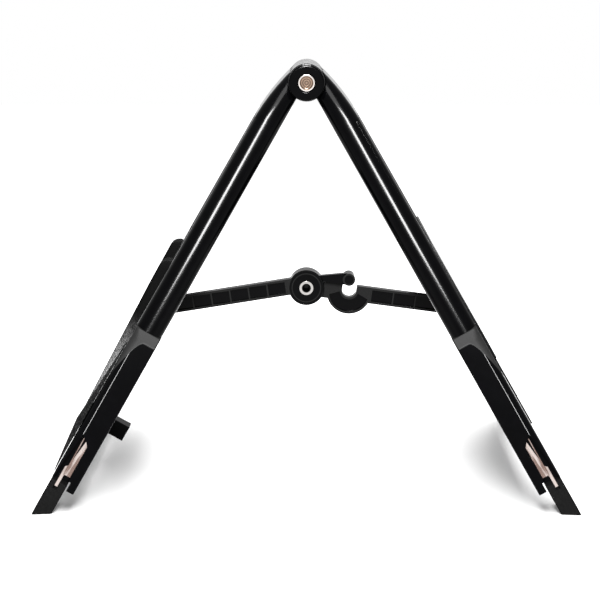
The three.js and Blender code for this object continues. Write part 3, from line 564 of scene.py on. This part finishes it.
# The pale grey that the sleeves' specks reach lower down is painted sheen.
sleeve_sheen = (0.26, 0.26, 0.26)
sleeve_faint_sheen = times(sleeve_tone, 2)
sheen_speck_scale = 2400.0
sheen_starts, sheen_full = 205 * mm, 262 * mm

sleeve_rubber = rubber("sleeve_rubber", sleeve_tone, sleeve_sheen, strip_grain, sheen_speck_scale)
tree = sleeve_rubber.tree
# The painted sheen grows in down the leg.
sheen_grown = ramp(tree, placed(sleeve_rubber, down_leg).outputs["Along"], sheen_starts, sheen_full)
feed(tree, blend(tree, sheen_grown, sleeve_faint_sheen, sleeve_sheen), sleeve_rubber.fleck.inputs["Speck"])
feed(tree, blend(tree, sheen_grown, sleeve_tone, sleeve_faint_sheen), sleeve_rubber.fleck.inputs["Base"])
print("finish:", sleeve_rubber.material.name)

# %% [markdown]
# The pins, washers and small screws are plain steel. Metal has no colour of its own under its
# reflections, so what tells one metal from another is the tint of those, how sharp they are, and
# the direction of the fine lines that working it has left.

# %% Metal
metal_smear = 300.0
line_detail = 3.0
line_bump = (0.15, 0.05 * mm)


def stretched(finish, vector, scale):
    """A place drawn out, so that a pattern on it runs in lines."""
    node = finish.tree.nodes.new("ShaderNodeMapping")
    node.inputs["Scale"].default_value = scale
    feed(finish.tree, vector, node.inputs["Vector"])
    return node.outputs["Vector"]


def metal(name, gloss, streak):
    finish = new_finish(name, metallic=1.0)
    handled(finish, metal_smear, gloss)
    lines = noise(finish.tree, stretched(finish, finish.place, streak), 1.0, line_detail)
    bumped(finish, lines, *line_bump)
    return finish


steel_tone = (0.4, 0.4, 0.41)
steel_gain = 1.08

steel = metal("steel", gloss=(0.28, 0.42), streak=(300.0, 3000.0, 300.0))
flecked(steel, scale=240.0, share=0.4, base=steel_tone, speck=times(steel_tone, steel_gain))
print("finish:", steel.material.name)

# %% [markdown]
# The blades in the shells are polished nickel, warm in tone. What they mirror breaks up into dark
# and light bands along the blade, so a noise that is drawn out down the leg gives them two tones.

# %% Blades
blade_dark = (0.3, 0.21, 0.18)
blade_light = (0.74, 0.64, 0.6)
band_scale = (420.0, 20.0, 45.0)
band_detail = 2.0
dark_to, light_from = 0.4, 0.58

blade_metal = metal("blade_metal", gloss=(0.12, 0.24), streak=(400.0, 400.0, 4000.0))
tree = blade_metal.tree
on_leg = placed(blade_metal, down_leg).outputs
leg_place = tree.nodes.new("ShaderNodeCombineXYZ")
feed(tree, on_leg["Deep"], leg_place.inputs["X"])
feed(tree, parts_of(tree, blade_metal.place)["Y"], leg_place.inputs["Y"])
feed(tree, on_leg["Along"], leg_place.inputs["Z"])
bands = noise(tree, stretched(blade_metal, leg_place.outputs[0], band_scale), 1.0, band_detail)
light_band = ramp(tree, bands, dark_to, light_from)
feed(tree, blend(tree, light_band, blade_dark, blade_light), blade_metal.shader["Base Color"])
print("finish:", blade_metal.material.name)

# %% [markdown]
# The hinge screw and the eyelet were turned on a lathe, which leaves rings. The screw is a bright rim
# round a ringed middle that is painted darker for the shade in its recess, and the eyelet is a rim
# round a hole painted dark for its shade. Both are the same effect with other values, so it is a group
# that makes the colour from the distance to the axis.

# %% Turned nickel
rim_soft = 0.2 * mm
turned_gloss = (0.14, 0.24)
turned_streak = (400.0, 400.0, 400.0)
ridge_gain = 2.4

rings, given, made = new_group(
    "rings",
    {"Radius": "Float", "Core": "Float", "Pitch": "Float",
     "Groove": "Color", "Ridge": "Color", "Rim": "Color"},
    {"Color": "Color"},
)
waves = maths(rings, "MULTIPLY", given["Radius"], maths(rings, "DIVIDE", 2 * math.pi, given["Pitch"]))
ridges = ramp(rings, maths(rings, "SINE", waves), -1.0, 1.0)
core = blend(rings, ridges, given["Groove"], given["Ridge"])
inner = maths(rings, "SUBTRACT", given["Core"], rim_soft)
outer = maths(rings, "ADD", given["Core"], rim_soft)
on_rim = ramp(rings, given["Radius"], inner, outer)
feed(rings, blend(rings, on_rim, core, given["Rim"]), made["Color"])


def turned_metal(name, aside, height, core_radius, pitch, shaded_groove, rim):
    """Nickel turned round an axis across the stand, with painted shade in its middle."""
    finish = metal(name, turned_gloss, turned_streak)
    axis = placed(finish, from_axis, Aside=aside, Height=height)
    ringed = placed(finish, rings, Radius=axis.outputs["Radius"], Core=core_radius, Pitch=pitch,
                    Groove=shaded_groove, Ridge=times(shaded_groove, ridge_gain), Rim=rim)
    feed(finish.tree, ringed.outputs["Color"], finish.shader["Base Color"])
    return finish


# The dark middle colours of the screw and the eyelet are painted shade.
screw_metal = turned_metal("screw_metal", aside=0.0, height=hinge_height,
                           core_radius=5.0 * mm, pitch=1.6 * mm,
                           shaded_groove=(0.17, 0.12, 0.09), rim=(0.85, 0.8, 0.76))
eyelet_metal = turned_metal("eyelet_metal", aside=eyelet_middle.x, height=eyelet_middle.z,
                            core_radius=3.5 * mm, pitch=3 * mm,
                            shaded_groove=(0.003, 0.003, 0.003), rim=(0.32, 0.31, 0.3))
print("finishes:", screw_metal.material.name, eyelet_metal.material.name)

# %% [markdown]
# A moulding has soft edges and smooth curves, and a solid from the frame is made of loose flat
# triangles. They could be covered by a new shape, but the solid's own shape is right. So a copy of
# it is merged, its flat faces are joined again, and its sharp edges get a small round. Weighted
# normals keep the flats flat beside them.

# %% Moulded copies of the solids
merge_distance = 0.002 * mm
flat_angle = math.radians(0.4)
crease_angle = math.radians(32)
edge_segments = 2


def moulded_mesh(node):
    """A node's solid as one closed mesh of whole flat and curved faces."""
    mesh = bmesh.new()
    mesh.from_mesh(nodes[node].data)
    bmesh.ops.remove_doubles(mesh, verts=mesh.verts[:], dist=merge_distance)
    bmesh.ops.dissolve_limit(mesh, angle_limit=flat_angle, verts=mesh.verts[:], edges=mesh.edges[:])
    for face in mesh.faces:
        face.smooth = True
    data = bpy.data.meshes.new(node + "_moulded")
    mesh.to_mesh(data)
    mesh.free()
    return data


def moulded(node, finish, slot, edge):
    """The piece that is seen for a node. It is lit as its finish asks, and moves with its body."""
    data = moulded_mesh(node)
    data.materials.append(finish.material)
    piece = bpy.data.objects.new(node + "_moulded", data)
    bpy.context.scene.collection.objects.link(piece)
    round_edges = piece.modifiers.new("edges", "BEVEL")
    round_edges.width = edge
    round_edges.segments = edge_segments
    round_edges.limit_method = "ANGLE"
    round_edges.angle_limit = crease_angle
    round_edges.use_clamp_overlap = True
    round_edges.harden_normals = False
    weighted = piece.modifiers.new("normals", "WEIGHTED_NORMAL")
    weighted.keep_sharp = True
    if slot not in ("nickel", "steel"):
        black_pieces.objects.link(piece)
    if finish is shell_gloss:
        shells.objects.link(piece)
    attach(piece, body_of_node[node])
    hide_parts(node)
    return piece


print("edges sharper than", round(math.degrees(crease_angle)), "degrees are rounded")

# %% [markdown]
# Most pieces take the finish of their slot in the record. A piece whose name holds one of the words
# below has one of its own. The round on the hinge's end discs is the widest.

# %% A finish and an edge for every piece
finish_by_slot = {
    "black_gloss": black_gloss,
    "black_matte": black_matte,
    "rubber": black_rubber,
    "steel": steel,
}
finish_by_word = {
    "cap": black_gloss,
    "shell_near": shell_gloss,
    "shell_far": shell_gloss,
    "foot": foot_rubber,
    "sleeve": sleeve_rubber,
    "blade": blade_metal,
    "hinge_screw": screw_metal,
    "eyelet": eyelet_metal,
    "finger_link": finger_plastic,
    "hook_link": hook_plastic,
}
edge_by_slot = {
    "black_gloss": 0.35 * mm,
    "black_matte": 0.3 * mm,
    "rubber": 0.4 * mm,
    "nickel": 0.12 * mm,
    "steel": 0.1 * mm,
}
cap_edge = 0.7 * mm

record_slots = {part["node"]: part["material_slot"] for part in frame["record"]["subparts"]}
for node, slot in record_slots.items():
    own = [finish for word, finish in finish_by_word.items() if word in node]
    edge = cap_edge if "cap" in node else edge_by_slot[slot]
    moulded(node, own[0] if own else finish_by_slot[slot], slot, edge)
print("moulded", len(record_slots), "pieces")

# %% [markdown]
# Last, json is imported once more.

import json
